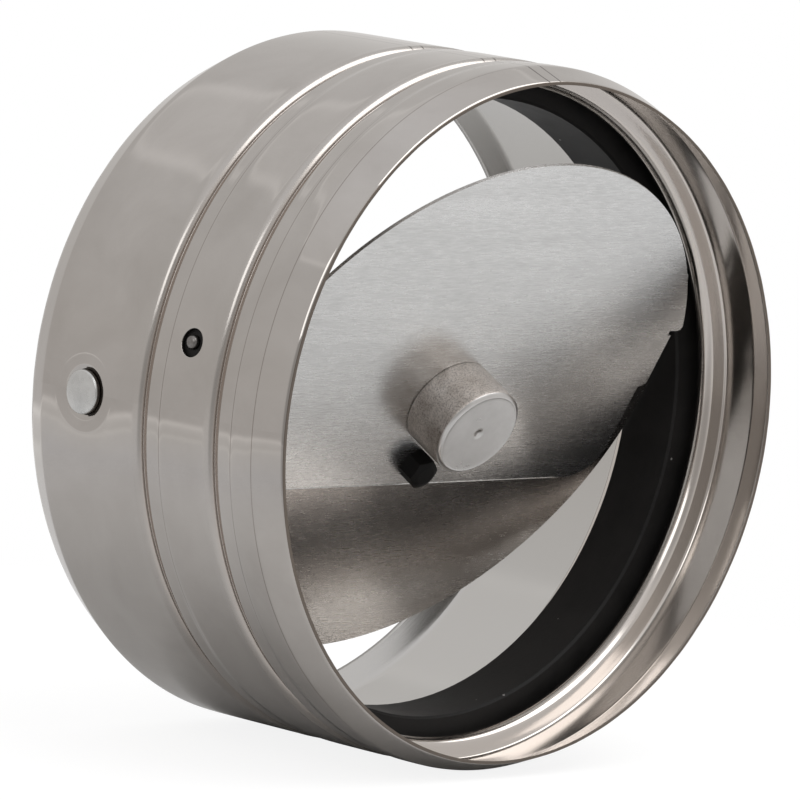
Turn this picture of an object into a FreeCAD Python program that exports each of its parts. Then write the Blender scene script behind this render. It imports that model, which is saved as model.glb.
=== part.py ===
import FreeCAD, Part
import math
import os
import Sketcher

# Airflow stabilizer for a round duct: a rolled steel tube with two beads, a black
# ring held between them, and a weighted flap of two blades that swings in the ring.
# The frame is the one in use: the tube lies along Y with its front opening at -Y,
# X runs along the flap's axle and Z is up. The origin is on the tube's centre line,
# in the upright plane that holds the axle.
# Depths are measured along the tube from its front rim. The flap is drawn upright,
# as it stands when closed, about its axle, and is then turned to its rest tilt.

SIZES = (
    ("tube_radius", "75", "outer radius of the tube wall"),
    ("tube_length", "77.6", "from front rim to rear rim"),
    ("tube_sheet", "0.6", "thickness of the tube's sheet"),
    ("front_rim_radius", "72.3", "outer radius of the drawn-in front rim"),
    ("front_taper_length", "7", "depth over which the front is drawn in"),
    ("rear_rim_radius", "72", "outer radius of the drawn-in rear rim"),
    ("rear_taper_length", "6.3", "depth over which the rear is drawn in"),
    ("front_bead_depth", "18.8", "depth of the front bead's middle"),
    ("rear_bead_depth", "40.5", "depth of the rear bead's middle"),
    ("bead_height", "4.6", "how far a bead is pressed in"),
    ("bead_valley_radius", "1.1", "outer radius at the bottom of a bead"),
    ("bead_shoulder_radius", "1.1", "outer radius at a bead's shoulders"),
    ("bead_lead", "5.7", "from a bead's middle forward to its roller mark"),
    ("bead_lead_drop", "0.2", "fall of the wall from that mark to the shoulder"),
    ("ring_thickness", "7.9", "from the ring's outside to its bore"),
    ("ring_wall_gap", "0.3", "radial gap between ring and tube wall"),
    ("ring_front_gap", "1.3", "gap between the ring and the front bead"),
    ("ring_rear_gap", "0.9", "gap between the ring and the rear bead"),
    ("ring_edge", "0.5", "chamfer on the ring's edges"),
    ("pivot_depth", "28.4", "depth of the axle"),
    ("pivot_height", "14.7", "height of the axle above the tube's centre line"),
    ("access_hole_radius", "3.05", "hole in the tube over each axle end"),
    ("axle_radius", "3", "radius of the axle between its shoulders"),
    ("axle_end_radius", "1.4", "radius of the turned-down ends"),
    ("axle_end_gap", "0.05", "radial running gap of the ends in the ring"),
    ("axle_end_recess", "1.2", "from the tube's outside to the axle's tip"),
    ("axle_side_gap", "0.4", "end float between each shoulder and the ring"),
    ("axle_edge", "0.3", "chamfer on the axle's shoulders and tips"),
    ("stop_depth", "58.8", "depth of the stop pins"),
    ("stop_radius", "3", "radius of a stop pin"),
    ("stop_head_radius", "4.7", "radius of its flat head"),
    ("stop_head_height", "1.3", "height of its flat head"),
    ("stop_head_edge", "0.3", "chamfer on its flat head"),
    ("stop_collar_radius", "4.2", "radius of the collar inside the wall"),
    ("stop_collar_length", "1.2", "length of the collar inside the wall"),
    ("stop_reach", "4.3", "how far a stop pin reaches past the blade's edge"),
    ("stop_hole_gap", "0.05", "radial gap of a stop pin in the wall"),
    ("rest_tilt", "28", "lean of the flap at rest, in degrees"),
    ("front_blade_edge_gap", "1.2", "gap between the front blade and the ring's bore"),
    ("rear_blade_edge_gap", "0.5", "gap between the rear blade and the ring's bore"),
    ("blade_sheet", "0.8", "thickness of both blades"),
    ("blade_spacing", "3.9", "gap between the two blades"),
    ("front_blade_half_width", "56.7", "from the middle to each straight side"),
    ("front_blade_bottom", "32.9", "from the axle down to the straight lower edge"),
    ("front_blade_corner", "9", "radius of the lower corners"),
    ("front_blade_upper_width", "58.8", "from the middle to each side above the step"),
    ("front_blade_step_drop", "7.8", "from the axle down to the step in each side"),
    ("front_blade_step_height", "1.1", "height over which the side steps in"),
    ("ear_bottom", "6.2", "from the axle up to the ears' lower side"),
    ("ear_corner", "1.2", "radius of the ears' lower corners"),
    ("ear_slot_reach", "57.8", "from the middle to the inner end of the slot"),
    ("ear_slot_width", "1.2", "width of the slot under each ear"),
    ("ear_top", "19.7", "from the axle up to the notch over each ear"),
    ("ear_notch_width", "1.6", "width of that notch along the edge"),
    ("ear_notch_depth", "0.7", "depth of that notch"),
    ("rear_blade_top", "13", "from the axle up to the rear blade's top edge"),
    ("saddle_place", "40", "from the middle to each saddle"),
    ("saddle_width", "10", "width of a saddle's strip"),
    ("saddle_sheet", "1", "thickness of a saddle's strip"),
    ("saddle_reach", "11", "from the axle to each end of a saddle"),
    ("saddle_grip_gap", "0.02", "gap between saddle and axle"),
    ("rivet_place", "7.3", "from the axle to each rivet"),
    ("rivet_radius", "1.5", "radius of a rivet's shank"),
    ("rivet_head_radius", "2.6", "radius of a rivet's heads"),
    ("rivet_head_height", "1", "height of a rivet's heads"),
    ("weight_radius", "10.6", "radius of the counterweight"),
    ("weight_height", "11.5", "height of the counterweight"),
    ("weight_edge", "0.9", "chamfer round its face"),
    ("weight_centre_radius", "1.1", "radius of the centre mark in its face"),
    ("weight_centre_depth", "0.7", "depth of that mark"),
    ("weight_drop", "11.15", "from the axle down to the counterweight"),
    ("weight_thread_depth", "8", "depth of its tapped hole"),
    ("screw_radius", "2.5", "radius of the counterweight screw's shank"),
    ("screw_gap", "0.05", "radial gap round both screws"),
    ("screw_grip", "7", "length of screw held in the counterweight"),
    ("screw_head_width", "8", "width across flats of that screw's head"),
    ("screw_head_height", "3.5", "height of that screw's head"),
    ("screw_head_edge", "0.5", "how far that head's corners are turned off"),
    ("bolt_radius", "2", "radius of the black bolt's shank"),
    ("bolt_head_width", "6.4", "width across flats of the black head"),
    ("bolt_head_height", "4.9", "height of the black head"),
    ("bolt_head_edge", "0.8", "how far its corners are turned off"),
    ("bolt_head_turn", "15", "turn of its flats about the bolt, in degrees"),
    ("nut_width", "7", "width across flats of the nut"),
    ("nut_height", "3.2", "height of the nut"),
    ("nut_edge", "0.4", "how far the nut's corners are turned off"),
    ("thread_stand", "1.2", "length of bolt standing out of the nut"),
    ("bolt_drop", "27.2", "from the axle down to the black bolt"),
    ("bolt_side", "1.4", "from the middle to the black bolt, to the left"),
    ("washer_sheet", "1", "thickness of the washers"),
    ("screw_washer_radius", "5", "outer radius of the counterweight screw's washer"),
    ("bolt_washer_radius", "4.5", "outer radius of the black bolt's washer"),
    ("screw_sleeve_radius", "4", "outer radius of the sleeve round that screw"),
    ("bolt_sleeve_radius", "3.5", "outer radius of the sleeve round the black bolt"),
)

doc = FreeCAD.newDocument("AirflowStabilizer")
sheet = doc.addObject("Spreadsheet::Sheet", "Sizes")
for row, (alias, number, meaning) in enumerate(SIZES, start=1):
    sheet.set("A%d" % row, number)
    sheet.setAlias("A%d" % row, alias)
    sheet.set("B%d" % row, meaning)
doc.recompute()


def value(formula):
    """The present value of a formula over the sheet's sizes."""
    result = sheet.evalExpression(formula)
    return float(getattr(result, "Value", result))


def size(alias):
    """The formula that names one size of the sheet."""
    return "Sizes." + alias


def along(depth_alias):
    """The Y of a depth that is measured from the front rim."""
    return "(Sizes.%s - Sizes.pivot_depth)" % depth_alias


# Formulas that several pieces share
FRONT_RIM = "(0 - Sizes.pivot_depth)"
REAR_RIM = "(Sizes.tube_length - Sizes.pivot_depth)"
WALL_INSIDE = "(Sizes.tube_radius - Sizes.tube_sheet)"
BEAD_REACH = "(Sizes.bead_valley_radius + Sizes.bead_shoulder_radius)"
RING_OUTSIDE = "(%s - Sizes.ring_wall_gap)" % WALL_INSIDE
RING_BORE = "(%s - Sizes.ring_thickness)" % RING_OUTSIDE
FRONT_BLADE_RADIUS = "(%s - Sizes.front_blade_edge_gap)" % RING_BORE
REAR_BLADE_RADIUS = "(%s - Sizes.rear_blade_edge_gap)" % RING_BORE
REAR_BLADE_BACK = "(0 - Sizes.axle_radius)"
REAR_BLADE_FACE = "(0 - Sizes.axle_radius - Sizes.blade_sheet)"
FRONT_BLADE_BACK = "(0 - Sizes.axle_radius - Sizes.blade_sheet - Sizes.blade_spacing)"
FRONT_BLADE_FACE = "(0 - Sizes.axle_radius - 2 * Sizes.blade_sheet - Sizes.blade_spacing)"
SCREW_HOLE = "(Sizes.screw_radius + Sizes.screw_gap)"
BOLT_HOLE = "(Sizes.bolt_radius + Sizes.screw_gap)"


def new_body(name):
    body = doc.addObject("PartDesign::Body", name)
    body.Label = name
    return body


def new_sketch(body, role, offset=()):
    """A sketch on one of the body's own planes, moved by formulas for x, y or z."""
    sketch = body.newObject("Sketcher::SketchObject", body.Name + "_sketch")
    origin_plane = [item for item in body.Origin.OriginFeatures if item.Role == role][0]
    sketch.AttachmentSupport = (origin_plane, [""])
    sketch.MapMode = "FlatFace"
    for axis, formula in offset:
        sketch.setExpression("AttachmentOffset.Base." + axis, formula)
    return sketch


def fix_point(sketch, piece, end, x, y, tag):
    """Ties one end of a sketch piece to formulas for its place."""
    origin_point = (-1, 1)
    for direction, formula in (("DistanceX", x), ("DistanceY", y)):
        index = sketch.addConstraint(
            Sketcher.Constraint(direction, *origin_point, piece, end, value(formula)))
        name = "%s_%s" % (direction[-1].lower(), tag)
        sketch.renameConstraint(index, name)
        sketch.setExpression("Constraints." + name, formula)


def arc_centre(start, end, radius, turn):
    """Centre of the short arc from start to end that turns left (1) or right (-1)."""
    chord_x, chord_y = end[0] - start[0], end[1] - start[1]
    chord = math.hypot(chord_x, chord_y)
    rise = math.sqrt(max(radius ** 2 - chord ** 2 / 4, 0)) * turn
    return ((start[0] + end[0]) / 2 - chord_y / chord * rise,
            (start[1] + end[1]) / 2 + chord_x / chord * rise)


def draw_outline(sketch, corners):
    """A closed outline. Each corner is (x, y) or, where an arc leads on from it,
    (x, y, radius, turn), with formulas for x, y and radius."""
    places = [(value(corner[0]), value(corner[1])) for corner in corners]
    first = sketch.GeometryCount
    starts, ends = [], []
    for index, corner in enumerate(corners):
        here, there = places[index], places[(index + 1) % len(corners)]
        if len(corner) == 2:
            piece = sketch.addGeometry(Part.LineSegment(
                FreeCAD.Vector(*here, 0), FreeCAD.Vector(*there, 0)))
            starts.append((piece, 1))
            ends.append((piece, 2))
            continue
        radius, turn = value(corner[2]), corner[3]
        centre = arc_centre(here, there, radius, turn)
        angles = [math.atan2(place[1] - centre[1], place[0] - centre[0])
                  for place in (here, there)]
        if turn < 0:
            angles.reverse()
        if angles[1] < angles[0]:
            angles[1] += 2 * math.pi
        circle = Part.Circle(FreeCAD.Vector(*centre, 0), FreeCAD.Vector(0, 0, 1), radius)
        piece = sketch.addGeometry(Part.ArcOfCircle(circle, *angles))
        starts.append((piece, 1 if turn > 0 else 2))
        ends.append((piece, 2 if turn > 0 else 1))
    for index, corner in enumerate(corners):
        following = (index + 1) % len(corners)
        sketch.addConstraint(Sketcher.Constraint("Coincident", *ends[index], *starts[following]))
        fix_point(sketch, *starts[index], corner[0], corner[1], "%d_%d" % (first, index))
    for index, corner in enumerate(corners):
        if len(corner) == 4:
            tag = "radius_%d_%d" % (first, index)
            constraint = sketch.addConstraint(
                Sketcher.Constraint("Radius", first + index, value(corner[2])))
            sketch.renameConstraint(constraint, tag)
            sketch.setExpression("Constraints." + tag, corner[2])


def draw_circle(sketch, x, y, radius):
    piece = sketch.addGeometry(Part.Circle(
        FreeCAD.Vector(value(x), value(y), 0), FreeCAD.Vector(0, 0, 1), value(radius)))
    fix_point(sketch, piece, 3, x, y, "centre_%d" % piece)
    tag = "radius_%d" % piece
    constraint = sketch.addConstraint(Sketcher.Constraint("Radius", piece, value(radius)))
    sketch.renameConstraint(constraint, tag)
    sketch.setExpression("Constraints." + tag, radius)


def revolve(body, sketch, axis):
    """Turns the sketch about its own V_Axis or H_Axis."""
    turned = body.newObject("PartDesign::Revolution", body.Name + "_turned")
    turned.Profile = sketch
    turned.ReferenceAxis = (sketch, [axis])
    turned.Angle = 360
    return turned


def pad(body, sketch, length, midplane=False):
    raised = body.newObject("PartDesign::Pad", body.Name + "_pad")
    raised.Profile = sketch
    raised.Midplane = midplane
    raised.setExpression("Length", length)
    return raised


def cut_through(body, sketch):
    """Cuts the sketch right through the body, both ways, and checks that it cut."""
    doc.recompute()
    before = body.Shape.Volume
    pocket = body.newObject("PartDesign::Pocket", body.Name + "_cut")
    pocket.Profile = sketch
    pocket.Type = "ThroughAll"
    pocket.Midplane = True
    doc.recompute()
    if not body.Shape.Volume < before:
        raise RuntimeError(body.Name + ": a cut removed nothing")


def turned_piece(name, axis, corners, offset=()):
    """A body turned from one outline, about the sketch's V_Axis (Y) or H_Axis (X)."""
    body = new_body(name)
    sketch = new_sketch(body, "XY_Plane", offset)
    draw_outline(sketch, corners)
    revolve(body, sketch, axis)
    return body


def put_on_flap(piece):
    """Carries a piece drawn about the axle to the axle's place, at the rest tilt."""
    piece.Placement = FreeCAD.Placement(
        FreeCAD.Vector(), FreeCAD.Rotation(FreeCAD.Vector(1, 0, 0), 1))
    piece.setExpression("Placement.Base.z", size("pivot_height"))
    piece.setExpression("Placement.Rotation.Angle", size("rest_tilt"))
    return piece


def bead_side(depth_alias, outside):
    """Corners of one bead, front to rear, on the outside or inside of the sheet."""
    middle = along(depth_alias)
    surface = size("tube_radius") if outside else WALL_INSIDE
    valley = size("bead_valley_radius")
    shoulder = size("bead_shoulder_radius")
    valley_curve = valley if outside else "(%s + Sizes.tube_sheet)" % valley
    shoulder_curve = shoulder if outside else "(%s - Sizes.tube_sheet)" % shoulder
    shoulder_level = "(Sizes.tube_radius - %s)" % shoulder
    valley_level = "(Sizes.tube_radius - Sizes.bead_height + %s)" % valley
    floor = "(%s - Sizes.bead_height)" % surface
    drop = size("bead_lead_drop")
    return [
        (surface, "%s - Sizes.bead_lead" % middle),
        ("%s - %s" % (surface, drop), "%s - %s" % (middle, BEAD_REACH), shoulder_curve, 1),
        ("%s - %s" % (shoulder_level, drop), "%s - %s" % (middle, valley_curve)),
        (valley_level, "%s - %s" % (middle, valley_curve), valley_curve, -1),
        (floor, middle, valley_curve, -1),
        (valley_level, "%s + %s" % (middle, valley_curve)),
        (shoulder_level, "%s + %s" % (middle, valley_curve), shoulder_curve, 1),
        (surface, "%s + %s" % (middle, BEAD_REACH)),
    ]


def build_tube_shell():
    """The rolled tube: both rims drawn in, two pressed beads and four holes."""
    taper_end = along("front_taper_length")
    rear_bend = "(%s - Sizes.rear_taper_length)" % REAR_RIM
    beads = ("front_bead_depth", "rear_bead_depth")
    outside = [(size("front_rim_radius"), FRONT_RIM), (size("tube_radius"), taper_end)]
    inside = [("Sizes.front_rim_radius - Sizes.tube_sheet", FRONT_RIM), (WALL_INSIDE, taper_end)]
    for bead in beads:
        outside += bead_side(bead, True)
        inside += bead_side(bead, False)
    outside += [(size("tube_radius"), rear_bend), (size("rear_rim_radius"), REAR_RIM)]
    inside += [(WALL_INSIDE, rear_bend), ("Sizes.rear_rim_radius - Sizes.tube_sheet", REAR_RIM)]
    body = new_body("tube_shell")
    sketch = new_sketch(body, "XY_Plane")
    draw_outline(sketch, outside + reverse_outline(inside))
    revolve(body, sketch, "V_Axis")
    holes = new_sketch(body, "YZ_Plane")
    draw_circle(holes, "0", size("pivot_height"), size("access_hole_radius"))
    draw_circle(holes, along("stop_depth"), "0", "Sizes.stop_radius + Sizes.stop_hole_gap")
    cut_through(body, holes)


def reverse_outline(corners):
    """The same run of corners walked backwards, with its arcs turning the other way."""
    walked = []
    for index in range(len(corners) - 1, -1, -1):
        lead = corners[index - 1] if index > 0 else ()
        arc = (lead[2], -lead[3]) if len(lead) == 4 else ()
        walked.append(corners[index][:2] + arc)
    return walked


def build_seal_ring():
    """The black ring between the beads, with a bearing hole for each axle end."""
    front = "(%s + %s + Sizes.ring_front_gap)" % (along("front_bead_depth"), BEAD_REACH)
    rear = "(%s - %s - Sizes.ring_rear_gap)" % (along("rear_bead_depth"), BEAD_REACH)
    bore = RING_BORE
    outer = RING_OUTSIDE
    edge = size("ring_edge")
    body = turned_piece("seal_ring", "V_Axis", [
        ("%s + %s" % (bore, edge), front),
        ("%s - %s" % (outer, edge), front),
        (outer, "%s + %s" % (front, edge)),
        (outer, "%s - %s" % (rear, edge)),
        ("%s - %s" % (outer, edge), rear),
        ("%s + %s" % (bore, edge), rear),
        (bore, "%s - %s" % (rear, edge)),
        (bore, "%s + %s" % (front, edge)),
    ])
    holes = new_sketch(body, "YZ_Plane")
    draw_circle(holes, "0", size("pivot_height"), "Sizes.axle_end_radius + Sizes.axle_end_gap")
    cut_through(body, holes)


def blade_circle(radius, height):
    """Half the width of a blade's circle at a height from the axle."""
    return "sqrt(%s ^ 2 - (%s + Sizes.pivot_height) ^ 2)" % (radius, height)


def build_stop_pin(name, side):
    """A turned pin through the wall: flat head outside, collar inside, plain end."""
    head_top = "(Sizes.tube_radius + Sizes.stop_head_height)"
    seat = size("tube_radius")
    edge = size("stop_head_edge")
    collar_top = "(sqrt(%s ^ 2 - Sizes.stop_collar_radius ^ 2))" % WALL_INSIDE
    collar_end = "(%s - Sizes.stop_collar_length)" % collar_top
    from_axle = "sqrt(%s ^ 2 + Sizes.pivot_height ^ 2)" % along("stop_depth")
    blade_edge = blade_circle(REAR_BLADE_RADIUS, "(0 - %s)" % from_axle)
    tip = "(%s - Sizes.stop_reach)" % blade_edge
    profile = [
        (tip, "0"),
        (tip, "Sizes.stop_radius - %s" % edge),
        ("%s + %s" % (tip, edge), size("stop_radius")),
        (collar_end, size("stop_radius")),
        (collar_end, size("stop_collar_radius")),
        (collar_top, size("stop_collar_radius")),
        (collar_top, size("stop_radius")),
        (seat, size("stop_radius")),
        (seat, size("stop_head_radius")),
        ("%s - %s" % (head_top, edge), size("stop_head_radius")),
        (head_top, "Sizes.stop_head_radius - %s" % edge),
        (head_top, "0"),
    ]
    if side < 0:
        profile = [("0 - (%s)" % along_x, radius) for along_x, radius in profile]
    turned_piece(name, "H_Axis", profile, (("y", along("stop_depth")),))


def blade_holes(body):
    """Holes in a blade for the counterweight's screw and the black bolt."""
    holes = new_sketch(body, "XZ_Plane")
    draw_circle(holes, "0", "0 - Sizes.weight_drop", SCREW_HOLE)
    draw_circle(holes, "0 - Sizes.bolt_side", "0 - Sizes.bolt_drop", BOLT_HOLE)
    cut_through(body, holes)


def build_front_blade():
    """The upper sheet: round top, stepped sides, straight foot and two slotted ears."""
    radius = FRONT_BLADE_RADIUS
    width = size("front_blade_half_width")
    bottom = "(0 - Sizes.front_blade_bottom)"
    corner = size("front_blade_corner")
    upper_width = size("front_blade_upper_width")
    step = "(0 - Sizes.front_blade_step_drop)"
    slot = size("ear_slot_reach")
    slot_top = size("ear_bottom")
    slot_foot = "(Sizes.ear_bottom - Sizes.ear_slot_width)"
    ear_corner = size("ear_corner")
    corner_end = "(%s + %s)" % (slot_top, ear_corner)
    ear_side = blade_circle(radius, corner_end)
    notch = size("ear_top")
    notch_end = "(Sizes.ear_top + Sizes.ear_notch_width)"
    right_side = [
        ("%s - %s" % (width, corner), bottom, corner, 1),
        (width, "%s + %s" % (bottom, corner)),
        (width, "%s - Sizes.front_blade_step_height" % step),
        (upper_width, step),
        (upper_width, slot_foot),
        (slot, slot_foot),
        (slot, slot_top),
        ("%s - %s" % (ear_side, ear_corner), slot_top, ear_corner, 1),
        (ear_side, corner_end, radius, 1),
        (blade_circle(radius, notch), notch),
        ("%s - Sizes.ear_notch_depth" % blade_circle(radius, notch), notch_end),
        (blade_circle(radius, notch_end), notch_end, radius, 1),
    ]
    left_side = [("0 - (%s)" % corner[0],) + corner[1:] for corner in reverse_outline(right_side)]
    left_side = [corner[:3] + (1,) if len(corner) == 4 else corner for corner in left_side]
    top = ("0", "%s - Sizes.pivot_height" % radius, radius, 1)
    body = new_body("front_blade")
    sketch = new_sketch(body, "XZ_Plane", (("z", "0 - " + FRONT_BLADE_BACK),))
    draw_outline(sketch, right_side + [top] + left_side)
    pad(body, sketch, size("blade_sheet"))
    blade_holes(body)
    put_on_flap(body)


def build_rear_blade():
    """The lower sheet: a disc cut straight above the axle, which lies on its back."""
    radius = REAR_BLADE_RADIUS
    top = size("rear_blade_top")
    side = blade_circle(radius, top)
    bottom = "(0 - %s - Sizes.pivot_height)" % radius
    body = new_body("rear_blade")
    sketch = new_sketch(body, "XZ_Plane", (("z", "0 - " + REAR_BLADE_BACK),))
    draw_outline(sketch, [
        (side, top),
        ("0 - " + side, top, radius, 1),
        ("0", bottom, radius, 1),
    ])
    pad(body, sketch, size("blade_sheet"))
    blade_holes(body)
    rivet_holes(body, (-1, 1))
    put_on_flap(body)


def rivet_holes(body, sides):
    """Rivet holes above and below the axle, at the saddle on each given side."""
    holes = new_sketch(body, "XZ_Plane")
    for side in sides:
        for level in (-1, 1):
            draw_circle(holes, "%d * Sizes.saddle_place" % side,
                        "%d * Sizes.rivet_place" % level, size("rivet_radius"))
    cut_through(body, holes)


def build_axle():
    """The steel rod across the flap, turned down at both ends to run in the ring."""
    edge = size("axle_edge")
    axle_top = "(Sizes.pivot_height + Sizes.axle_radius)"
    shoulder = "(sqrt(%s ^ 2 - %s ^ 2) - Sizes.axle_side_gap)" % (RING_BORE, axle_top)
    tip = "(sqrt(Sizes.tube_radius ^ 2 - Sizes.pivot_height ^ 2) - Sizes.axle_end_recess)"
    right_half = [
        (shoulder + " - " + edge, size("axle_radius")),
        (shoulder, "Sizes.axle_radius - " + edge),
        (shoulder, size("axle_end_radius")),
        (tip + " - " + edge, size("axle_end_radius")),
        (tip, "Sizes.axle_end_radius - " + edge),
        (tip, "0"),
    ]
    left_half = [("0 - (%s)" % x, radius) for x, radius in reversed(right_half)]
    put_on_flap(turned_piece("axle", "H_Axis", right_half + left_half))


def build_saddle(name, side):
    """A strip bent over the axle, with a flat foot above and below it."""
    inner = "(Sizes.axle_radius + Sizes.saddle_grip_gap)"
    outer = "(%s + Sizes.saddle_sheet)" % inner
    foot_back = "(%s + Sizes.saddle_sheet)" % REAR_BLADE_BACK
    reach = size("saddle_reach")
    body = new_body(name)
    sketch = new_sketch(body, "YZ_Plane", (("z", "%d * Sizes.saddle_place" % side),))
    draw_outline(sketch, [
        (REAR_BLADE_BACK, reach),
        (foot_back, reach),
        (foot_back, outer),
        ("0", outer, outer, -1),
        (outer, "0", outer, -1),
        ("0", "0 - " + outer),
        (foot_back, "0 - " + outer),
        (foot_back, "0 - " + reach),
        (REAR_BLADE_BACK, "0 - " + reach),
        (REAR_BLADE_BACK, "0 - " + inner),
        ("0", "0 - " + inner, inner, 1),
        (inner, "0", inner, 1),
        ("0", inner),
        (REAR_BLADE_BACK, inner),
    ])
    pad(body, sketch, size("saddle_width"), midplane=True)
    rivet_holes(body, (side,))
    put_on_flap(body)


def build_saddle_rivets():
    """Four rivets, each through a saddle's foot and the rear blade."""
    front = REAR_BLADE_FACE
    back = "(%s + Sizes.saddle_sheet)" % REAR_BLADE_BACK
    shank = size("rivet_radius")
    head = size("rivet_head_radius")
    crown = "(Sizes.rivet_head_radius + Sizes.rivet_radius) / 2"
    height = size("rivet_head_height")
    profile = [
        ("0", front + " - " + height),
        (crown, front + " - " + height),
        (head, front),
        (shank, front),
        (shank, back),
        (head, back),
        (crown, back + " + " + height),
        ("0", back + " + " + height),
    ]
    rivets = []
    for side in (-1, 1):
        for level in (-1, 1):
            offset = (("x", "%d * Sizes.saddle_place" % side),
                      ("z", "%d * Sizes.rivet_place" % level))
            name = "rivet_%d" % (len(rivets) + 1)
            rivets.append(turned_piece(name, "V_Axis", profile, offset))
    group = doc.addObject("Part::Compound", "saddle_rivets")
    group.Label = "saddle_rivets"
    group.Links = rivets
    put_on_flap(group)


def build_counterweight():
    """A turned steel slug on the front blade, tapped from behind."""
    base = FRONT_BLADE_FACE
    face = "(%s - Sizes.weight_height)" % base
    thread_end = "(%s - Sizes.weight_thread_depth)" % base
    radius = size("weight_radius")
    edge = size("weight_edge")
    put_on_flap(turned_piece("counterweight", "V_Axis", [
        (SCREW_HOLE, base),
        (radius, base),
        (radius, face + " + " + edge),
        (radius + " - " + edge, face),
        (size("weight_centre_radius"), face),
        ("0", face + " + Sizes.weight_centre_depth"),
        ("0", thread_end),
        (SCREW_HOLE, thread_end),
    ], (("z", "0 - Sizes.weight_drop"),)))


def hexagon_corner(width_alias):
    """From a hexagon's middle to its corners."""
    return "(Sizes.%s / sqrt(3))" % width_alias


def cut_hexagon(body, width_alias, x, z, turn="0"):
    """Cuts a turned head or nut to six flats about the axis through x and z."""
    corner = hexagon_corner(width_alias)
    sketch = new_sketch(body, "XZ_Plane")
    draw_outline(sketch, [
        ("%s + %s * cos(%d + %s)" % (x, corner, angle, turn),
         "%s + %s * sin(%d + %s)" % (z, corner, angle, turn))
        for angle in range(0, 360, 60)
    ])
    draw_circle(sketch, x, z, size(width_alias))
    cut_through(body, sketch)


def build_screw(name, kind, shank, seat, tip, direction, place, turn="0"):
    """A hexagon screw: the head stands on the seat, away from the tip."""
    x, z = place
    sign = "+" if direction > 0 else "-"
    top = "(%s %s Sizes.%s_head_height)" % (seat, sign, kind)
    edge = size(kind + "_head_edge")
    corner = hexagon_corner(kind + "_head_width")
    body = turned_piece(name, "V_Axis", [
        ("0", tip),
        (shank, tip),
        (shank, seat),
        (corner, seat),
        (corner, "%s - (%d) * %s" % (top, direction, edge)),
        ("%s - 2 * %s" % (corner, edge), top),
        ("0", top),
    ], (("x", x), ("z", z)))
    cut_hexagon(body, kind + "_head_width", x, z, turn)
    put_on_flap(body)


def build_sleeve(name, inner, outer, back, front, place):
    """A plain ring between two planes square to the flap."""
    put_on_flap(turned_piece(name, "V_Axis", [
        (inner, front), (outer, front), (outer, back), (inner, back),
    ], (("x", place[0]), ("z", place[1]))))


def build_nut(name, back, front, place):
    """A hexagon nut with both faces turned off at the corners."""
    x, z = place
    edge = size("nut_edge")
    corner = hexagon_corner("nut_width")
    face = "%s - 2 * %s" % (corner, edge)
    body = turned_piece(name, "V_Axis", [
        (BOLT_HOLE, front),
        (face, front),
        (corner, front + " + " + edge),
        (corner, back + " - " + edge),
        (face, back),
        (BOLT_HOLE, back),
    ], (("x", x), ("z", z)))
    cut_hexagon(body, "nut_width", x, z)
    put_on_flap(body)


def build_fasteners():
    """What holds the counterweight and the two blades together."""
    weight = ("0", "(0 - Sizes.weight_drop)")
    bolt = ("(0 - Sizes.bolt_side)", "(0 - Sizes.bolt_drop)")
    washer_back = "(%s + Sizes.washer_sheet)" % REAR_BLADE_BACK
    nut_back = "(%s + Sizes.nut_height)" % washer_back
    screw_tip = "(%s - Sizes.screw_grip)" % FRONT_BLADE_FACE
    bolt_tip = "(%s + Sizes.thread_stand)" % nut_back
    build_screw("weight_screw", "screw", size("screw_radius"), washer_back, screw_tip, 1, weight)
    build_sleeve("weight_screw_washer", SCREW_HOLE, size("screw_washer_radius"),
                 washer_back, REAR_BLADE_BACK, weight)
    build_sleeve("weight_spacer", SCREW_HOLE, size("screw_sleeve_radius"),
                 REAR_BLADE_FACE, FRONT_BLADE_BACK, weight)
    build_screw("blade_bolt", "bolt", size("bolt_radius"), FRONT_BLADE_FACE, bolt_tip, -1, bolt,
                size("bolt_head_turn"))
    build_sleeve("blade_bolt_washer", BOLT_HOLE, size("bolt_washer_radius"),
                 washer_back, REAR_BLADE_BACK, bolt)
    build_sleeve("bolt_spacer", BOLT_HOLE, size("bolt_sleeve_radius"),
                 REAR_BLADE_FACE, FRONT_BLADE_BACK, bolt)
    build_nut("blade_bolt_nut", nut_back, washer_back, bolt)


NODES = (
    "tube_shell", "seal_ring", "stop_pin_left", "stop_pin_right",
    "front_blade", "rear_blade", "axle", "axle_saddle_left", "axle_saddle_right",
    "saddle_rivets", "counterweight", "weight_screw", "weight_screw_washer",
    "weight_spacer", "blade_bolt", "blade_bolt_washer", "bolt_spacer", "blade_bolt_nut",
)

build_tube_shell()
build_seal_ring()
build_stop_pin("stop_pin_left", -1)
build_stop_pin("stop_pin_right", 1)
build_front_blade()
build_rear_blade()
build_axle()
build_saddle("axle_saddle_left", -1)
build_saddle("axle_saddle_right", 1)
build_saddle_rivets()
build_counterweight()
build_fasteners()
doc.recompute()

for item in doc.Objects:
    if "Invalid" in item.State or "Error" in item.State:
        raise RuntimeError("%s is not built: %s" % (item.Label, item.State))

os.makedirs("parts", exist_ok=True)
for node in NODES:
    piece = doc.getObjectsByLabel(node)[0]
    if piece.Shape.isNull() or not piece.Shape.isValid():
        raise RuntimeError(node + " has no valid shape")
    piece.Shape.exportStep("parts/%s.step" % node)
    print("%-22s %d solids %10.1f mm3" % (node, len(piece.Shape.Solids), piece.Shape.Volume))
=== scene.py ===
# %% [markdown]
# # An airflow stabilizer in bright steel
# The object is a short duct of rolled steel with two pressed-in beads. A black ring sits
# between the beads, and a weighted flap of two thin blades swings in it. The solids come
# in with their real sizes, so this lesson only dresses them: it gives each one a finish,
# and swaps a few for smoother or rougher meshes of the same size.

# %% Load the solids
import math

import bpy
from mathutils import Matrix, Vector, noise


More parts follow.
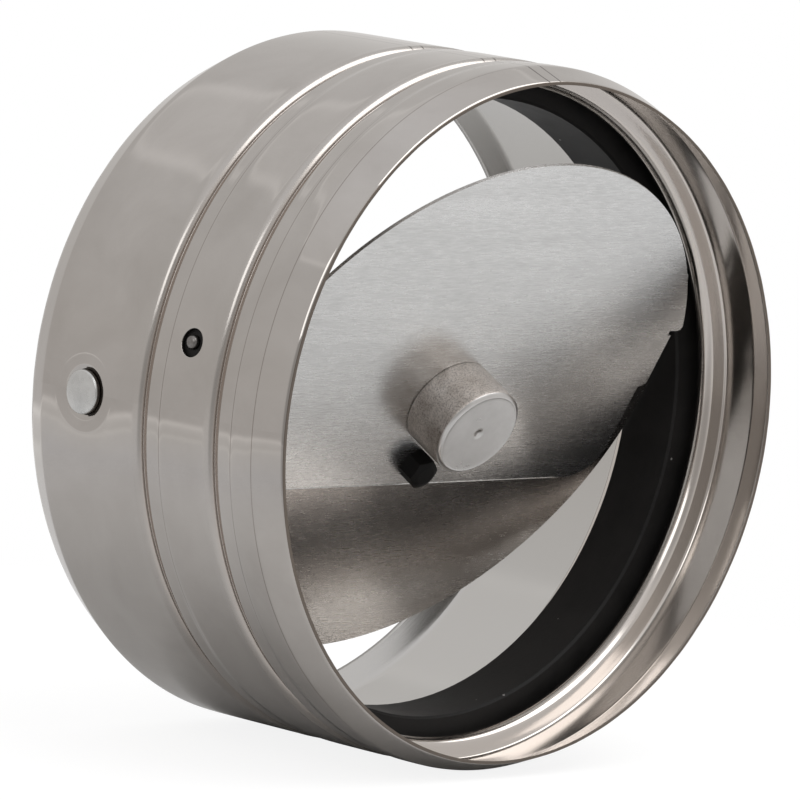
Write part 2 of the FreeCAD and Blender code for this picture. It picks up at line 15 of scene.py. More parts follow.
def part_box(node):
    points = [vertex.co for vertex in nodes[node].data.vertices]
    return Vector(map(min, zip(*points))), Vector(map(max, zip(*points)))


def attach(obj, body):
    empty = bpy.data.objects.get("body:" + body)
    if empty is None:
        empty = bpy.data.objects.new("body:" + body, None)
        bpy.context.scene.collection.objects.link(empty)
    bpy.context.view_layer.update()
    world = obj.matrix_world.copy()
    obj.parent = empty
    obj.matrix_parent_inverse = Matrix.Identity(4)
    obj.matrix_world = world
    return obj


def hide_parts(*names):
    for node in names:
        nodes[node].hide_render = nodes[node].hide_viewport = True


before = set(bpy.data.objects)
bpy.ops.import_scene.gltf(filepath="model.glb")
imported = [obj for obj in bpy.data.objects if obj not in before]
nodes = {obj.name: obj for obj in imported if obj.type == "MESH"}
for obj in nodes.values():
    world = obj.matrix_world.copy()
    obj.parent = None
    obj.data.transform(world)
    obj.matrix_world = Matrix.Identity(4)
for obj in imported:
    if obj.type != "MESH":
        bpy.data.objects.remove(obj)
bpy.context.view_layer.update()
scene = bpy.context.scene
print("solids:", ", ".join(sorted(nodes)))

# %% [markdown]
# ## The camera
# The photograph was taken from far away with a long lens, from the left and a little
# above. Its place was found by laying the rims, the beads and the foot of the upper blade
# over the picture. A camera can be aimed by three directions at once: its right, its view
# and its up, written as the columns of a matrix. That keeps the small roll of the picture,
# which a target to look at would lose.

# %% Set up the camera
EYE = Vector((-1.1759, -1.1680, 0.2048))
LENS = 353.98
view = Vector((0.7005, 0.7030, -0.1225)).normalized()
right = Vector((0.7132, -0.6955, 0.0868)).normalized()
up = right.cross(view).normalized()
right = view.cross(up)

lens = bpy.data.cameras.new("camera")
lens.lens = LENS
lens.sensor_width = 36
lens.clip_start = 0.05
camera = bpy.data.objects.new("camera", lens)
camera.matrix_world = Matrix((right, up, -view)).transposed().to_4x4()
camera.matrix_world.translation = EYE
scene.collection.objects.link(camera)
scene.camera = camera
scene.view_settings.view_transform = "Standard"
print("camera is %.2f m from the object" % EYE.length)

# %% [markdown]
# ## Small helpers for materials
# Every finish here is a node graph, and a few short helpers keep the graphs readable. The
# first fills a node's sockets, either with a plain value or with a link from another node.
# The second adds a node and fills it. The others wrap the nodes that come up again and
# again: a Math node, a mix of two colours, a ramp, noise and a bump.

# %% Node helpers
def fill(tree, node, sockets):
    """Fills inputs of a node. Sockets maps an input's name or number to a value or an output."""
    for name, content in sockets.items():
        if isinstance(content, bpy.types.NodeSocket):
            tree.links.new(content, node.inputs[name])
        else:
            node.inputs[name].default_value = content


def add(tree, kind, sockets=None, **settings):
    """A new node with its settings made and its sockets filled."""
    made = tree.nodes.new(kind)
    for name, content in settings.items():
        setattr(made, name, content)
    fill(tree, made, sockets or {})
    return made


def maths(tree, operation, first, second=0.0, third=0.0):
    """A Math node. Its sockets all carry the same name, so they are filled by number."""
    sockets = {0: first, 1: second, 2: third}
    return add(tree, "ShaderNodeMath", sockets, operation=operation).outputs[0]


def squares(tree, first, second):
    """The sum of two squares."""
    return maths(tree, "ADD", maths(tree, "MULTIPLY", first, first),
                 maths(tree, "MULTIPLY", second, second))


def spread(tree, value, low, high, to_low=0.0, to_high=1.0, curve="LINEAR"):
    """Takes a value from one range to another, and stops at both ends."""
    return add(tree, "ShaderNodeMapRange", {
        "Value": value, "From Min": low, "From Max": high, "To Min": to_low, "To Max": to_high},
        interpolation_type=curve).outputs[0]


def blend(tree, factor, first, second):
    """A mix of two colours, which are sockets 6 and 7 of a Mix node."""
    return add(tree, "ShaderNodeMix", {"Factor": factor, 6: first, 7: second},
               data_type="RGBA").outputs[2]


def ramp(tree, driver, stops):
    """A colour ramp. Each stop is a place from 0 to 1 and a colour."""
    made = add(tree, "ShaderNodeValToRGB", {"Fac": driver})
    points = made.color_ramp.elements
    while len(points) < len(stops):
        points.new(0.5)
    for point, (place, shade) in zip(points, stops):
        point.position = place
        point.color = (*shade, 1)
    return made.outputs["Color"]


def speckle(tree, where, scale, detail=2.0, roughness=0.5, distortion=0.0):
    """Plain noise from 0 to 1."""
    return add(tree, "ShaderNodeTexNoise", {
        "Vector": where, "Scale": scale, "Detail": detail,
        "Roughness": roughness, "Distortion": distortion}).outputs["Fac"]


def stretch(tree, where, scale, turn=0.0):
    """Coordinates turned about X and then stretched."""
    turned = add(tree, "ShaderNodeVectorRotate", {"Vector": where, "Angle": turn},
                 rotation_type="X_AXIS").outputs[0]
    return add(tree, "ShaderNodeVectorMath", {0: turned, 1: scale},
               operation="MULTIPLY").outputs[0]


def relief(tree, height, depth, strength=1.0, under=None):
    """A bump of a real depth in metres, on top of another bump if there is one."""
    sockets = {"Height": height, "Distance": depth, "Strength": strength}
    if under is not None:
        sockets["Normal"] = under
    return add(tree, "ShaderNodeBump", sockets).outputs["Normal"]


def finish(name):
    """A new material, its node tree, its shader and its object coordinates."""
    material = bpy.data.materials.new(name)
    material.use_nodes = True
    tree = material.node_tree
    where = add(tree, "ShaderNodeTexCoord").outputs["Object"]
    return material, tree, tree.nodes["Principled BSDF"], where


print("helpers are ready")

# %% [markdown]
# ## A pale room
# Bright steel has little colour of its own. It shows the room, so the room matters more
# than the lamps. The marks in the steel tell what stood there: pale walls, slightly warm
# at the height of the table and dimmer behind the camera. The world plays the room. Its
# shade follows the height of the direction, and three thin pale bands in it, two low and
# one high up, draw the lines that run along the side of the tube. The camera itself sees
# plain white, as in the picture.

# %% World
BEHIND_CAMERA = (-0.70, -0.70, 0.10)
DIM_FROM, DIM_FULL, DIM_SHARE = 0.72, 0.98, 0.6
world = bpy.data.worlds.new("pale_room")
scene.world = world
world.use_nodes = True
room = world.node_tree
room.nodes.clear()
direction = add(room, "ShaderNodeTexCoord").outputs["Generated"]
height = add(room, "ShaderNodeSeparateXYZ", {0: direction}).outputs["Z"]
walls = ramp(room, maths(room, "MULTIPLY_ADD", height, 0.5, 0.5), (
    (0.00, (0.74, 0.74, 0.74)),
    (0.330, (0.80, 0.80, 0.81)),
    (0.384, (0.84, 0.83, 0.82)),
    (0.389, (0.96, 0.95, 0.93)),
    (0.395, (0.80, 0.785, 0.77)),
    (0.409, (0.86, 0.845, 0.83)),
    (0.415, (1.08, 1.06, 1.04)),
    (0.421, (0.72, 0.70, 0.685)),
    (0.56, (0.745, 0.725, 0.705)),
    (0.70, (0.785, 0.77, 0.755)),
    (0.822, (0.82, 0.81, 0.80)),
    (0.828, (1.04, 1.03, 1.02)),
    (0.836, (0.88, 0.87, 0.86)),
    (1.0, (0.98, 0.98, 0.99)),
))
facing = add(room, "ShaderNodeVectorMath", {0: direction, 1: BEHIND_CAMERA},
             operation="DOT_PRODUCT").outputs["Value"]
dim = spread(room, facing, DIM_FROM, DIM_FULL, 1.0, DIM_SHARE, "SMOOTHSTEP")
walls = add(room, "ShaderNodeVectorMath", {0: walls, "Scale": dim},
            operation="SCALE").outputs[0]
ray = add(room, "ShaderNodeLightPath")
white_seen = blend(room, ray.outputs["Is Camera Ray"], walls, (1, 1, 1, 1))
glow = add(room, "ShaderNodeBackground", {"Color": white_seen, "Strength": 1.0})
add(room, "ShaderNodeOutputWorld", {"Surface": glow.outputs[0]})
print("the room is in place")

# %% [markdown]
# ## A white table
# The tube stands on a round white table that fades out towards its edge, so that no hard
# line shows in the steel. For camera rays a glow lifts it to the white of the background,
# with just enough matt paint under it to keep the soft shadow of the tube. All other rays
# meet plain matt paint, which adds no light of its own.

# %% Table
TABLE_LEVEL = -0.0757
TABLE_REACH, TABLE_FADE = 0.26, 0.16
TABLE_CORNERS = 96


def new_piece(name, points, faces, smooth=True):
    """An object in the scene, made from points and faces."""
    mesh = bpy.data.meshes.new(name)
    mesh.from_pydata(points, [], faces)
    if smooth:
        mesh.shade_smooth()
    piece = bpy.data.objects.new(name, mesh)
    scene.collection.objects.link(piece)
    return piece


edge = [(TABLE_REACH * math.cos(2 * math.pi * k / TABLE_CORNERS),
         TABLE_REACH * math.sin(2 * math.pi * k / TABLE_CORNERS), TABLE_LEVEL)
        for k in range(TABLE_CORNERS)]
table = new_piece("table", edge, [tuple(range(TABLE_CORNERS))], smooth=False)
paper, tree, shader, where = finish("white_table")
tree.nodes.remove(shader)
seen = add(tree, "ShaderNodeLightPath").outputs["Is Camera Ray"]
matt = add(tree, "ShaderNodeBsdfDiffuse", {"Color": (0.72, 0.72, 0.72, 1)}).outputs[0]
pale = add(tree, "ShaderNodeBsdfDiffuse", {"Color": (0.16, 0.16, 0.16, 1)}).outputs[0]
lit = add(tree, "ShaderNodeEmission", {"Color": (1, 1, 1, 1), "Strength": 0.87}).outputs[0]
for_camera = add(tree, "ShaderNodeAddShader", {0: pale, 1: lit}).outputs[0]
solid = add(tree, "ShaderNodeMixShader", {0: seen, 1: matt, 2: for_camera}).outputs[0]
reach = add(tree, "ShaderNodeVectorMath", {0: where}, operation="LENGTH").outputs["Value"]
fade = spread(tree, reach, TABLE_FADE, TABLE_REACH)
clear = add(tree, "ShaderNodeBsdfTransparent").outputs[0]
both = add(tree, "ShaderNodeMixShader", {0: fade, 1: solid, 2: clear}).outputs[0]
fill(tree, tree.nodes["Material Output"], {"Surface": both})
table.data.materials.append(paper)
print("the table is in place")

# %% [markdown]
# ## Two soft boxes
# A wide lamp high up in front gives the white streaks along the beads. It also shines into
# the tube, whose lower wall throws the light up on the blades. A smaller one at the left
# carries the streaks further down. Area lamps are right for this, because steel shows a
# lamp's shape as well as its light.

# %% Soft boxes
def soft_box(name, place, width, height, power):
    """A rectangular area lamp that points at the object. Sizes are in metres and watts."""
    lamp = bpy.data.lights.new(name, "AREA")
    lamp.shape = "RECTANGLE"
    lamp.size = width
    lamp.size_y = height
    lamp.energy = power
    lamp_object = bpy.data.objects.new(name, lamp)
    lamp_object.location = place
    lamp_object.rotation_euler = (-Vector(place)).to_track_quat("-Z", "Y").to_euler()
    scene.collection.objects.link(lamp_object)
    return lamp_object


for box_lamp in (
        soft_box("soft_box_front", (0.38, -0.55, 1.15), width=1.5, height=0.8, power=8.0),
        soft_box("soft_box_left", (-1.10, -0.50, 0.72), width=0.6, height=0.6, power=2.0)):
    print("%s is %.2f m away" % (box_lamp.name, box_lamp.location.length))

# %% [markdown]
# ## The rolled tube
# The tube is one sheet, rolled round and welded, with two beads pressed into it by
# rollers. The solid has flat facets along its round edges, and bright steel shows every
# one of them. So the tube is made again as a lathe mesh: one outline, repeated at many
# angles about the Y axis. A Screw modifier could turn the same outline, but rows and
# columns made in code also let the wall be dented and pierced, as it is on the real one.
# Sizes are in millimetres here, as a sheet metal worker would write them.

# %% Sizes and small bends of the outline
MM = 0.001
TUBE = 75.0
SHEET = 0.6
FRONT_RIM, FRONT_RIM_RADIUS, FRONT_TAPER = -28.4, 72.3, 7
REAR_RIM, REAR_RIM_RADIUS, REAR_TAPER = 49.2, 72.0, 6.3
BEADS = (-9.6, 12.1)
BEAD_HEIGHT = 4.6
VALLEY = 1.1
SHOULDER = 1.1
ROLLER_MARK = 5.7
ROLLER_DROP = 0.2
GROOVE_DEPTH = 2.25
LONGEST_RUN = 1.05


def bend(y, r, radius, first, last, steps):
    """Points on an arc of the outline. Angles are in degrees from +Y towards outside."""
    angles = [math.radians(first + (last - first) * k / steps) for k in range(steps + 1)]
    return [(y + radius * math.cos(a), r + radius * math.sin(a)) for a in angles]


def soften(before, corner, after, steps=4):
    """A round bend through a corner, between a point before it and one after it."""
    points = []
    for k in range(steps + 1):
        t = k / steps
        points.append(tuple((1 - t) ** 2 * a + 2 * t * (1 - t) * b + t * t * c
                            for a, b, c in zip(before, corner, after)))
    return points


def fill_runs(points, longest):
    """The same outline with long straight runs divided into short ones."""
    filled = [points[0]]
    for start, end in zip(points, points[1:]):
        count = max(1, math.ceil(math.dist(start, end) / longest))
        filled += [tuple(a + (b - a) * k / count for a, b in zip(start, end))
                   for k in range(1, count + 1)]
    return filled


print("the sheet is %.1f mm thick and %.1f mm long" % (SHEET, REAR_RIM - FRONT_RIM))

# %% [markdown]
# ## The two sides of the sheet
# A roller pushed each bead in from outside. On the inside it is one broad crest. On the
# outside the fold has almost closed, which leaves a narrow groove with a crisp front edge
# and a soft rear shoulder, and a faint step where the roller's side ran. The two sides are
# drawn apart, because the groove is so much narrower than the crest behind it.

# %% Outline of the sheet
def bead_inside(y):
    """The crest that a bead makes on the inside, from front to rear: a hollow foot, a
    steep flank that rolls over into a broad round top, and a steep side behind."""
    wall = TUBE - SHEET
    top = TUBE - SHEET - BEAD_HEIGHT
    hollow, broad, steep = 0.9, 2.6, VALLEY + SHEET
    lean, flank = 68, 0.75
    foot = broad * math.sin(math.radians(lean)) + hollow * math.sin(math.radians(lean)) + flank
    return ([(y - ROLLER_MARK, wall)]
            + bend(y - foot, wall - hollow, hollow, 90, 90 - lean, 8)
            + bend(y, top + broad, broad, 270 - lean, 270, 14)
            + bend(y, top + steep, steep, 270, 360, 8)[1:]
            + bend(y + VALLEY + SHOULDER, TUBE - SHOULDER, SHOULDER - SHEET, 180, 90, 6))


def bead_outside(y):
    """The groove on the outside, where the roller has almost closed the fold: a crisp
    front edge, a shallow round floor and a soft rear shoulder."""
    front_edge, floor_round, rear_round = 0.28, 0.98, 1.95
    middle = y - 0.62
    front = TUBE - ROLLER_DROP
    return ([(y - ROLLER_MARK, TUBE), (y - ROLLER_MARK + 0.35, front)]
            + bend(middle - floor_round - front_edge, front - front_edge, front_edge, 90, 0, 9)
            + bend(middle, TUBE - GROOVE_DEPTH + floor_round, floor_round, 180, 360, 12)
            + bend(middle + floor_round + rear_round, TUBE - rear_round, rear_round,
                   180, 90, 14))


def sheet_side(inward):
    """The whole outline of one side of the sheet, from front rim to rear rim."""
    wall = TUBE - inward
    front, front_bend, front_drop = FRONT_RIM + FRONT_TAPER, 0.5, 0.193
    rear, rear_bend, rear_drop = REAR_RIM - REAR_TAPER, 0.6, 0.285
    points = [(FRONT_RIM, FRONT_RIM_RADIUS - inward)]
    points += soften((front - front_bend, wall - front_drop), (front, wall),
                     (front + front_bend, wall))
    for y in BEADS:
        points += bead_inside(y) if inward else bead_outside(y)
    points += soften((rear - rear_bend, wall), (rear, wall),
                     (rear + rear_bend, wall - rear_drop))
    points.append((REAR_RIM, REAR_RIM_RADIUS - inward))
    return points


outside = fill_runs(sheet_side(0), LONGEST_RUN)
inside = fill_runs(sheet_side(SHEET), LONGEST_RUN)
print("outline rows: %d outside, %d inside" % (len(outside), len(inside)))

# %% [markdown]
# ## Dents and uneven rims
# Nothing in a real duct is quite true. The stop pins were riveted through the wall, and
# the sheet sank a little round each head. The flat bands between the bends are very
# slightly crowned, and the shears left the rims uneven. All of it is put into the place of
# each point, before the mesh is made.

# %% Where a point of the wall lies
AROUND = 520
PIVOT = 14.7
HOLE, HOLE_MARGIN = 3.05, 4.6
PIN_PLACE, PIN_MARGIN = 30.4, 10.2
SINK_DEPTH, SINK_SPREAD = 0.62, 88
CROWN = 0.06
FLATS = ((-21.4, -15.3), (-7.4, 6.4), (14.5, 42.9))
RIM_WAVES, RIM_NICKS = 0.10, 0.05


def turn_to(angle, y, r):
    """A place in metres, from an angle round the tube and millimetres along and across."""
    return (r * math.cos(angle) * MM, y * MM, r * math.sin(angle) * MM)


def crown(y):
    """The flat bands curve in very slightly at their ends, which bends reflections."""
    for start, end in FLATS:
        if start <= y <= end:
            return CROWN * abs(2 * (y - start) / (end - start) - 1) ** 6
    return 0.0


def sunk(angle, y):
    """Riveting the nearer pin also pulled the sheet in softly, a long way round it."""
    across = TUBE * math.remainder(angle, math.pi)
    return SINK_DEPTH * math.exp(-(across ** 2 + (y - PIN_PLACE) ** 2) / SINK_SPREAD)


def cut_rim(angle, y):
    """The shears left the rims a little uneven, in long waves with small nicks."""
    place = Vector((math.cos(angle) * 9, math.sin(angle) * 9, y))
    uneven = RIM_WAVES * abs(noise.noise(place)) + RIM_NICKS * abs(noise.noise(place * 5))
    return uneven if y < 0 else -uneven


def wall_point(angle, y, r, inward):
    """A point of the wall with its dents. Inward is 0 on the outside of the sheet."""
    pressed = sunk(angle, y) + (crown(y) if inward == 0 else 0)
    if y in (FRONT_RIM, REAR_RIM):
        y += cut_rim(angle, y)
    return turn_to(angle, y, r - pressed)


print("the wall sinks %.2f mm at a pin" % sunk(0.0, PIN_PLACE))

# %% [markdown]
# ## Rows, columns and openings
# A round hole over each end of the axle lets the pivot be fitted, and drilling left a
# burr. Round each pin head a narrow dark gap is left. The holes aren't cut with a Boolean:
# on polished steel its long thin triangles show as creases. Instead a small square of the
# grid is left out and filled with rings of points that go from the square to the circle.
# Round a pin each ring is also set a little deeper than the one before.

# %% Helpers for the tube's mesh
hole_angles = [math.asin(PIVOT / TUBE), math.pi - math.asin(PIVOT / TUBE)]
pin_angles = [0.0, math.pi]
OPENINGS = [(angle, 0.0, HOLE_MARGIN) for angle in hole_angles]
OPENINGS += [(angle, PIN_PLACE, PIN_MARGIN) for angle in pin_angles]
points, faces = [], []


def lathe_side(outline, inward, outward_faces):
    """Adds one side of the sheet with a square left out at each hole and pin. Returns the
    first index, and for each opening the loop of indices round its square."""
    start = len(points)
    angles = [2 * math.pi * k / AROUND for k in range(AROUND)]
    for y, r in outline:
        points.extend(wall_point(a, y, r, inward) for a in angles)
    skipped, loops = set(), []
    for centre, place_y, margin in OPENINGS:
        rows = [k for k, (y, r) in enumerate(outline) if abs(y - place_y) <= margin]
        middle = round(centre / (2 * math.pi) * AROUND)
        reach = round(margin / TUBE / (2 * math.pi) * AROUND)
        columns = [(middle + k) % AROUND for k in range(-reach, reach + 1)]
        for row in rows[:-1]:
            skipped.update((row, column) for column in columns[:-1])
        loop = [(rows[0], c) for c in columns]
        loop += [(row, columns[-1]) for row in rows[1:]]
        loop += [(rows[-1], c) for c in reversed(columns[:-1])]
        loop += [(row, columns[0]) for row in reversed(rows[1:-1])]
        loops.append([start + row * AROUND + column for row, column in loop])
    for row in range(len(outline) - 1):
        for column in range(AROUND):
            if (row, column) in skipped:
                continue
            following = (column + 1) % AROUND
            a, b = start + row * AROUND + column, start + row * AROUND + following
            face = (a, a + AROUND, b + AROUND, b)
            faces.append(face if outward_faces else face[::-1])
    return start, loops


def bridge(first, second, flip):
    """Faces between two closed loops of the same length."""
    for k in range(len(first)):
        n = (k + 1) % len(first)
        face = (first[k], first[n], second[n], second[k])
        faces.append(face[::-1] if flip else face)


def ring_of_points(loop, centre, place_y, share, wall, radius):
    """Points between a square loop and a circle about a hole. Share 1 is the circle."""
    ring = []
    for index in loop:
        x, y, z = (value / MM for value in points[index])
        across = wall * math.remainder(math.atan2(z, x) - centre, 2 * math.pi)
        about = math.atan2(y - place_y, across)
        flat_x = across + (radius * math.cos(about) - across) * share
        flat_y = y + (place_y + radius * math.sin(about) - y) * share
        ring.append(len(points))
        angle = centre + flat_x / wall
        points.append(turn_to(angle, flat_y, wall - sunk(angle, flat_y)))
    return ring


print("openings in the wall: %d" % len(OPENINGS))

# %% [markdown]
# ## Building the tube
# Both sides of the sheet are laid down first, then the holes with their burr, the dents
# with their gaps, and last the cut faces at the two rims. Those stay flat shaded: smooth
# shading would bend the light round the sharp edge and draw a white line along it.

# %% Mesh of the tube
BURR_FOOT, BURR_CREST, BURR_HEIGHT, HOLE_LIP = 0.25, 0.12, 0.10, 0.02
# How deep the sheet is pressed in round a pin, as (distance from the middle, depth).
PRESSED_OUTSIDE = (
    (9.0, 0), (8.7, 0), (8.5, -0.02), (8.2, 0.03), (7.3, 0.05), (6.6, 0.07), (6.0, 0.09),
    (5.8, 0.08), (5.65, 0.12), (5.5, 0.15), (5.25, 0.21), (5.0, 0.29), (3.05, 0.29))
PRESSED_INSIDE = ((9.0, 0), (7.5, 0.02), (6.0, 0.05), (4.6, 0.08), (3.05, 0.08))
outer_start, outer_loops = lathe_side(outside, 0, True)
inner_start, inner_loops = lathe_side(inside, SHEET, False)

for centre, outer_loop, inner_loop in zip(hole_angles, outer_loops, inner_loops):
    edges = []
    for loop, wall, flip, burr, lip in (
            (outer_loop, TUBE, True, BURR_HEIGHT, HOLE_LIP),
            (inner_loop, TUBE - SHEET, False, 0, -HOLE_LIP)):
        last = loop
        for share in (0.35, 0.7, 0.92):
            ring = ring_of_points(loop, centre, 0, share, wall, HOLE + BURR_FOOT)
            bridge(last, ring, flip)
            last = ring
        raised = ring_of_points(loop, centre, 0, 1, wall + burr, HOLE + BURR_CREST)
        bridge(last, raised, flip)
        edges.append(ring_of_points(loop, centre, 0, 1, wall + lip, HOLE))
        bridge(raised, edges[-1], flip)
    bridge(edges[0], edges[1], True)

for centre, outer_loop, inner_loop in zip(pin_angles, outer_loops[2:], inner_loops[2:]):
    edges = []
    for loop, wall, pressed, flip in ((outer_loop, TUBE, PRESSED_OUTSIDE, True),
                                      (inner_loop, TUBE - SHEET, PRESSED_INSIDE, False)):
        last = ring_of_points(loop, centre, PIN_PLACE, 0.5, wall, pressed[0][0])
        bridge(loop, last, flip)
        for reach, depth in pressed:
            ring = ring_of_points(loop, centre, PIN_PLACE, 1, wall - depth, reach)
            bridge(last, ring, flip)
            last = ring
        edges.append(last)
    bridge(edges[0], edges[1], True)

for outer_row, inner_row, flip in ((0, 0, False), (len(outside) - 1, len(inside) - 1, True)):
    outer_rim = [outer_start + outer_row * AROUND + k for k in range(AROUND)]
    inner_rim = [inner_start + inner_row * AROUND + k for k in range(AROUND)]
    bridge(outer_rim, inner_rim, flip)

rolled_tube = new_piece("rolled_tube", points, faces)
for polygon in rolled_tube.data.polygons[-2 * AROUND:]:
    polygon.use_smooth = False
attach(rolled_tube, "tube")
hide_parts("tube_shell")
print("rolled tube: %d faces" % len(rolled_tube.data.polygons))

# %% [markdown]
# ## Finish of the rolled tube: what lies where
# The marks on the tube follow its making: the weld, the beads, the bends and the dents. A
# node graph doesn't know them, so each is found from the coordinates first, as a number
# that is 1 on it and 0 elsewhere. The weld comes from the angle round the axis: two thin
# dark lines. How deep a point lies under the outer skin tells the inside of the sheet from
# the outside, and the grooves from both.

# %% Places on the tube
SEAM_ANGLE, SEAM_HALF, SEAM_LINE = (math.radians(angle) for angle in (92.2, 1.3, 0.16))
FRONT_SLOPE = (TUBE - FRONT_RIM_RADIUS) / FRONT_TAPER
REAR_SLOPE = (TUBE - REAR_RIM_RADIUS) / REAR_TAPER
CREASE_HALF, ROLLER_LINE, ROLLER_HALF = 0.10, 0.2, 0.16
FOLD_SHIFT, FOLD_HALF = -0.25, 1.6
SHOULDER_SHIFT, SHOULDER_CORE, SHOULDER_END = 1.0, 0.9, 2.2
INSIDE_FROM, GROOVE_FLOOR = 0.42, 0.3
bright_sheet, tree, shader, where = finish("bright_rolled_sheet")
place = add(tree, "ShaderNodeSeparateXYZ", {0: where}).outputs
turn = maths(tree, "ARCTAN2", place["Z"], place["X"])
radius = maths(tree, "SQRT", squares(tree, place["X"], place["Z"]))

from_seam = maths(tree, "ABSOLUTE", maths(tree, "SUBTRACT", turn, SEAM_ANGLE))
seam_wobble = maths(tree, "MULTIPLY_ADD", speckle(tree, where, 260.0, 2.0), 0.004, -0.002)
from_line = maths(tree, "ABSOLUTE", maths(
    tree, "SUBTRACT", maths(tree, "ADD", from_seam, seam_wobble), SEAM_HALF))
seam = maths(tree, "LESS_THAN", from_line, SEAM_LINE)

front_cone = maths(tree, "MULTIPLY_ADD", place["Y"], FRONT_SLOPE,
                   (FRONT_RIM_RADIUS - FRONT_SLOPE * FRONT_RIM) * MM)
rear_cone = maths(tree, "MULTIPLY_ADD", place["Y"], -REAR_SLOPE,
                  (REAR_RIM_RADIUS + REAR_SLOPE * REAR_RIM) * MM)
full = maths(tree, "MINIMUM", maths(tree, "MINIMUM", front_cone, rear_cone), TUBE * MM)
depth = maths(tree, "SUBTRACT", full, radius)

fold, shoulder = 0.0, 0.0
crease_lines = maths(tree, "COMPARE", place["Y"], (FRONT_RIM + FRONT_TAPER) * MM, CREASE_HALF * MM)
for y in BEADS:
    from_shoulder = maths(tree, "ABSOLUTE", maths(
        tree, "SUBTRACT", place["Y"], (y + SHOULDER_SHIFT) * MM))
    shoulder = maths(tree, "ADD", shoulder, spread(
        tree, from_shoulder, SHOULDER_END * MM, SHOULDER_CORE * MM, curve="SMOOTHSTEP"))
    fold = maths(tree, "ADD", fold, maths(
        tree, "COMPARE", place["Y"], (y + FOLD_SHIFT) * MM, FOLD_HALF * MM))
    crease_lines = maths(tree, "ADD", crease_lines, maths(
        tree, "COMPARE", place["Y"], (y - ROLLER_MARK + ROLLER_LINE) * MM, ROLLER_HALF * MM))

from_pin = maths(tree, "SUBTRACT", place["Y"], PIN_PLACE * MM)
near_pin = maths(tree, "MULTIPLY", squares(tree, from_pin, place["Z"]),
                 -1 / (SINK_SPREAD * MM * MM))
sink = maths(tree, "MULTIPLY", maths(tree, "EXPONENT", near_pin), SINK_DEPTH * MM)
inner = maths(tree, "GREATER_THAN", depth, maths(tree, "ADD", sink, maths(
    tree, "MULTIPLY_ADD", fold, (GROOVE_DEPTH - GROOVE_FLOOR) * MM, INSIDE_FROM * MM)))
outer = maths(tree, "SUBTRACT", 1.0, inner)
cut_face = maths(tree, "LESS_THAN", place["Y"], (FRONT_RIM + 0.22) * MM)
print("places on the tube are found")

# %% [markdown]
# ## Finish of the rolled tube: colour, gloss and bump
# Cold rolled stainless sheet is almost a mirror, but never quite. Rolling leaves a faint
# grain round the tube, handling leaves hazy patches, and the sheet is never truly flat, so
# the reflections swim. On the outside the colour stays nearly even, and what varies is the
# roughness and the bump, which is where a metal gets its life. The cut edge is dark. The
# crease lines at the front bend and at the roller steps are painted dark, as painted shade,
# and the grooves are painted lighter and warmer, a painted reflection of the light that
# bounces about in them. The sheet is duller inside and where a roller has rubbed it. Inside
# it is also painted lighter and warmer than outside, and a little darker from the front bead
# on, as painted light and shade.

# %% Tube finish
DARK_LINE = (0.16, 0.145, 0.135, 1)
CREASE_SHADE = (0.16, 0.13, 0.115, 1)
GROOVE_BOUNCE_LIGHT = (0.51, 0.462, 0.428, 1)
INSIDE_FRONT, INSIDE_REAR = (0.56, 0.522, 0.490, 1), (0.49, 0.478, 0.46, 1)
CUT_EDGE = (0.17, 0.145, 0.125, 1)
round_place = maths(tree, "MULTIPLY", turn, TUBE * MM)
flat = add(tree, "ShaderNodeCombineXYZ", {"X": round_place, "Y": place["Y"]}).outputs[0]
rolling = speckle(tree, stretch(tree, flat, (60, 2600, 1)), 1.0, 3.0, 0.6)
haze = speckle(tree, flat, 55.0, 4.0, 0.6, 0.4)
waves = speckle(tree, where, 17.0, 1.0, 0.4)

steel = ramp(tree, haze, ((0.30, (0.415, 0.391, 0.370)), (0.70, (0.465, 0.441, 0.420))))
seam_dark = blend(tree, seam, steel, DARK_LINE)
shade = spread(tree, depth, 0.35 * MM, 1.3 * MM)
# Painted reflection: the outer grooves take a lighter, warmer colour for the light that bounces
# about in them.
groove = maths(tree, "MULTIPLY", maths(tree, "MULTIPLY", shade, outer), fold)
groove_lit = blend(tree, groove, seam_dark, GROOVE_BOUNCE_LIGHT)
# Painted shade: the crease lines on the outside are darkened.
outer_creases = maths(tree, "MULTIPLY", crease_lines, outer)
crease_shaded = blend(tree, maths(tree, "MULTIPLY", outer_creases, 0.6), groove_lit, CREASE_SHADE)
# Painted light and shade: the inside is lighter and warmer than the outside, and a little darker
# from the front bead on.
behind_ring = spread(tree, place["Y"], 12 * MM, 18 * MM)
inside_painted_light = blend(tree, behind_ring, INSIDE_FRONT, INSIDE_REAR)
sheet_colour = blend(tree, inner, crease_shaded, inside_painted_light)
edge_colour = blend(tree, cut_face, sheet_colour, CUT_EDGE)

rubbed = maths(tree, "MULTIPLY", maths(tree, "MULTIPLY", shoulder, outer), 0.16)
formed = maths(tree, "MULTIPLY_ADD", cut_face, 0.35, rubbed)
hazy = maths(tree, "MULTIPLY_ADD", haze, 0.05, 0.025)
grainy = maths(tree, "MULTIPLY_ADD", rolling, 0.03, maths(tree, "MULTIPLY", inner, 0.08))
gloss = maths(tree, "ADD", maths(tree, "ADD", hazy, formed), grainy)
swim = relief(tree, waves, 0.0010, 0.30)
grain = relief(tree, rolling, 0.00001, 0.25, swim)
fill(tree, shader, {"Base Color": edge_colour, "Metallic": 1, "Roughness": gloss,
                    "Normal": grain})
rolled_tube.data.materials.append(bright_sheet)
print("tube finish is on", rolled_tube.name)

# %% [markdown]
# ## The black ring
# The ring is moulded in a dense black plastic. It is satin rather than glossy, a little
# greyer in places, and dust from the workshop sits on it as pale specks. Its solid is
# right as it is, so it keeps its mesh and takes this material in its slot.

# %% Helper for dressing a solid, and the ring's finish
DUST_SHARE, DUST_SIZE = 0.07, 0.12


def dress(node_name, material):
    """Puts one material on a solid's own mesh."""
    nodes[node_name].data.materials.clear()
    nodes[node_name].data.materials.append(material)


